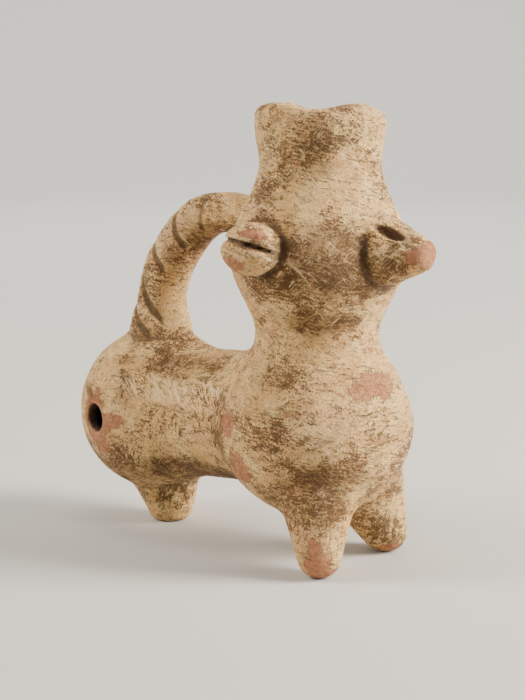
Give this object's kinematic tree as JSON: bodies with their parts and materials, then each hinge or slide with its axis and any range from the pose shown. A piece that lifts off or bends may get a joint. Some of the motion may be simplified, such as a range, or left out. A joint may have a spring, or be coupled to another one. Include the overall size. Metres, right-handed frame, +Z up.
{
  "type": "zoomorphic vessel",
  "caption": "Hand-built hollow clay animal-shaped pouring vessel on stub legs, with an open neck, a conical muzzle, slit ear lugs and an arched handle from head to rump.",
  "frame": {"origin": "on the resting plane, under the middle of the vessel's bounding box", "axes": "+Z up, -Y towards the muzzle, +Y towards the rump, -X the animal's right side"},
  "size_m": [0.0864, 0.161, 0.1681],
  "materials": {
    "slipped_clay": "matte low-fired red clay under a worn, burnished cream slip, with brown staining"
  },
  "bodies": {
    "root": {"vessel": "slipped_clay"}
  },
  "joints": []
}
